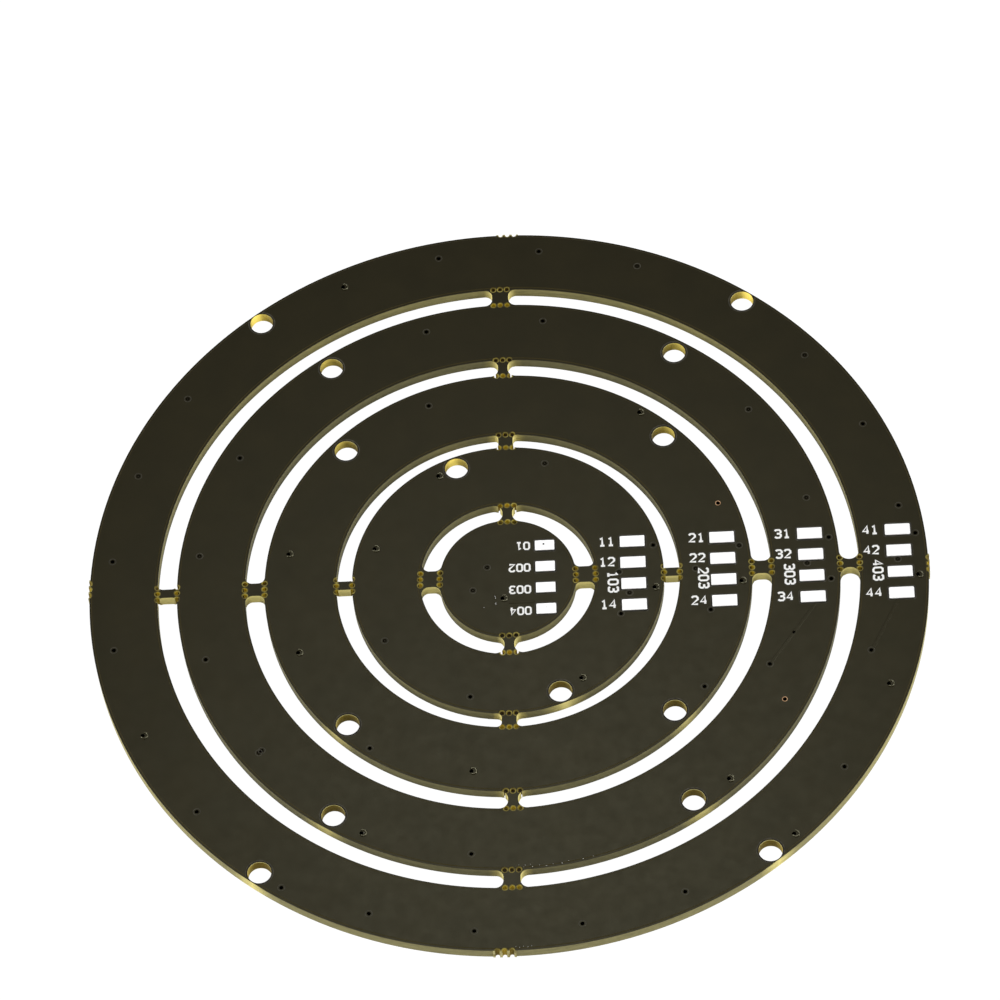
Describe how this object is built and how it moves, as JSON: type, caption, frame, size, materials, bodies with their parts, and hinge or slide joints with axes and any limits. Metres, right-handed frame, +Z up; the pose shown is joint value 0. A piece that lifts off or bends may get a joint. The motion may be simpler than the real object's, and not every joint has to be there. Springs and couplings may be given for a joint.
{
  "type": "led ring module",
  "caption": "Flat round circuit panel of concentric break-apart LED rings with a centre disc, solder pads on one side and square LEDs on the other.",
  "frame": {"origin": "on the panel's axis, in the plane of the LED faces that it rests on", "axes": "+Z up out of the solder side, +X from the centre towards the solder pads"},
  "size_m": [0.0864, 0.0864, 0.003],
  "materials": {
    "laminate": "glass-epoxy laminate with a satin black solder mask and bare olive routed edges",
    "solder_tin": "bright tinned copper, slightly uneven",
    "led_housing": "moulded white plastic, fine matt",
    "led_filling": "clear cast silicone, smooth",
    "lead_frame": "silver-plated copper",
    "driver_silicon": "polished dark silicon",
    "emitter_chip": "polished chip with a metal pad",
    "capacitor_ceramic": "fired brown ceramic"
  },
  "bodies": {
    "root": {"board": "laminate", "solder_pads_disc": "solder_tin", "solder_pads_ring_1": "solder_tin", "solder_pads_ring_2": "solder_tin", "solder_pads_ring_3": "solder_tin", "solder_pads_ring_4": "solder_tin", "led_housing_disc": "led_housing", "led_housings_ring_1": "led_housing", "led_housings_ring_2": "led_housing", "led_housings_ring_3": "led_housing", "led_housings_ring_4": "led_housing", "led_lens_disc": "led_filling", "led_lenses_ring_1": "led_filling", "led_lenses_ring_2": "led_filling", "led_lenses_ring_3": "led_filling", "led_lenses_ring_4": "led_filling", "led_frame_disc": "lead_frame", "led_frames_ring_1": "lead_frame", "led_frames_ring_2": "lead_frame", "led_frames_ring_3": "lead_frame", "led_frames_ring_4": "lead_frame", "driver_chip_disc": "driver_silicon", "driver_chips_ring_1": "driver_silicon", "driver_chips_ring_2": "driver_silicon", "driver_chips_ring_3": "driver_silicon", "driver_chips_ring_4": "driver_silicon", "emitters_disc": "emitter_chip", "emitters_ring_1": "emitter_chip", "emitters_ring_2": "emitter_chip", "emitters_ring_3": "emitter_chip", "emitters_ring_4": "emitter_chip", "capacitor_disc": "capacitor_ceramic", "capacitors_ring_1": "capacitor_ceramic", "capacitors_ring_2": "capacitor_ceramic", "capacitors_ring_3": "capacitor_ceramic", "capacitors_ring_4": "capacitor_ceramic", "capacitor_ends_disc": "solder_tin", "capacitor_ends_ring_1": "solder_tin", "capacitor_ends_ring_2": "solder_tin", "capacitor_ends_ring_3": "solder_tin", "capacitor_ends_ring_4": "solder_tin"}
  },
  "joints": []
}
